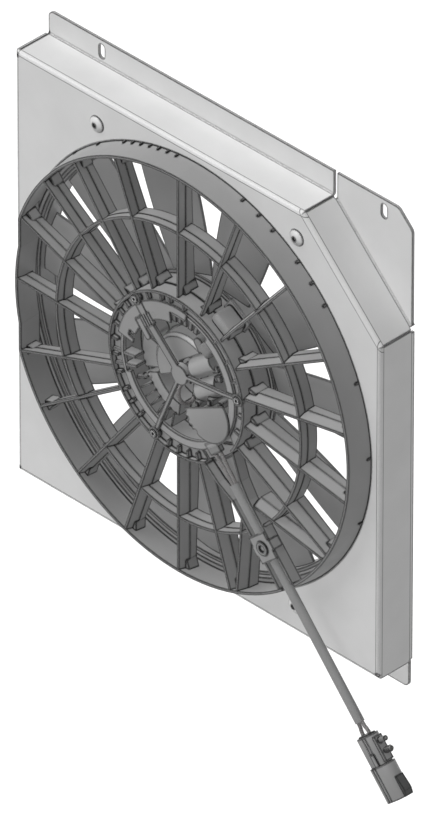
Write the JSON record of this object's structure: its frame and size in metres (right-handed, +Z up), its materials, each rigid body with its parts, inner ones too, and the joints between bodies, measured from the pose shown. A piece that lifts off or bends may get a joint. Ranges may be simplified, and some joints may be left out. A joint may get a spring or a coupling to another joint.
{
  "type": "radiator fan shroud",
  "caption": "Folded sheet radiator shroud that carries a round electric axial fan with a vaned guard, hub motor, clipped cable and plug.",
  "frame": {"origin": "The point where the fan axis meets the plane in which the pan's flanges lie against the radiator core.", "axes": "+Y runs along the fan axis from the guard towards the radiator, +Z is up along the pan's side walls, and +X is to the right as seen from the guard's side, towards the side that has the cut corner."},
  "size_m": [0.5058, 0.072, 0.5715],
  "materials": {
    "pan_metal": "mill-finish rolled sheet, dull",
    "zinc_steel": "zinc plated",
    "housing_plastic": "moulded, fine grain",
    "wheel_plastic": "moulded, fine grain",
    "clip_plastic": "moulded, satin",
    "motor_metal": "die cast, bead blasted",
    "bell_metal": "grey, satin",
    "rotor_steel": "pressed, plated",
    "core_steel": "stacked sheets",
    "bearing_steel": "ground",
    "magnet": "sintered",
    "copper": "enamelled copper wire",
    "board": "glass-fibre laminate, lacquered",
    "can_metal": "sleeved can",
    "ferrite": "sintered ring",
    "chip_plastic": "moulded case",
    "rubber_seal": "soft",
    "lead_red": "extruded insulation",
    "lead_dark": "extruded insulation",
    "sheath": "flexible tube, seamed",
    "plug_plastic": "moulded, satin",
    "latch_plastic": "moulded, satin",
    "contact": "tinned"
  },
  "bodies": {
    "shroud": {"shroud_pan": "pan_metal", "mounting_bolts": "zinc_steel", "mounting_nuts": "zinc_steel", "lug_sleeves": "zinc_steel", "spider_screws": "zinc_steel", "fan_barrel": "housing_plastic", "guard_vanes": "housing_plastic", "guard_mid_ring": "housing_plastic", "guard_hub_ring": "housing_plastic", "cable_channel": "housing_plastic", "spider_bracket": "housing_plastic", "channel_clip": "clip_plastic", "sector_cover": "clip_plastic", "round_cover": "clip_plastic", "terminal_cover": "clip_plastic", "motor_base": "motor_metal", "heat_sink": "motor_metal", "bearing_tube": "motor_metal", "end_bell": "bell_metal", "stator_core": "core_steel", "bearing_outer_races": "bearing_steel", "stator_windings": "copper", "circuit_board": "board", "capacitors": "can_metal", "choke": "ferrite", "transistors": "chip_plastic", "film_capacitor": "chip_plastic", "cable_gland": "rubber_seal", "connector_seal": "rubber_seal", "lead_positive": "lead_red", "lead_negative": "lead_dark", "cable_sheath": "sheath", "connector_housing": "plug_plastic", "connector_shell": "plug_plastic", "connector_latch": "latch_plastic", "loom_clip": "latch_plastic", "connector_blades": "contact"},
    "rotor": {"fan_hub": "wheel_plastic", "fan_blades": "wheel_plastic", "fan_band": "wheel_plastic", "fan_screws": "zinc_steel", "rotor_cup": "rotor_steel", "rotor_magnets": "magnet", "motor_shaft": "bearing_steel", "shaft_clip": "bearing_steel", "bearing_inner_races": "bearing_steel"}
  },
  "joints": [
    {"name": "fan_spin", "type": "hinge", "parent": "shroud", "child": "rotor", "pos_m": [0, -0.03, 0], "axis": [0, 1, 0], "continuous": true}
  ]
}
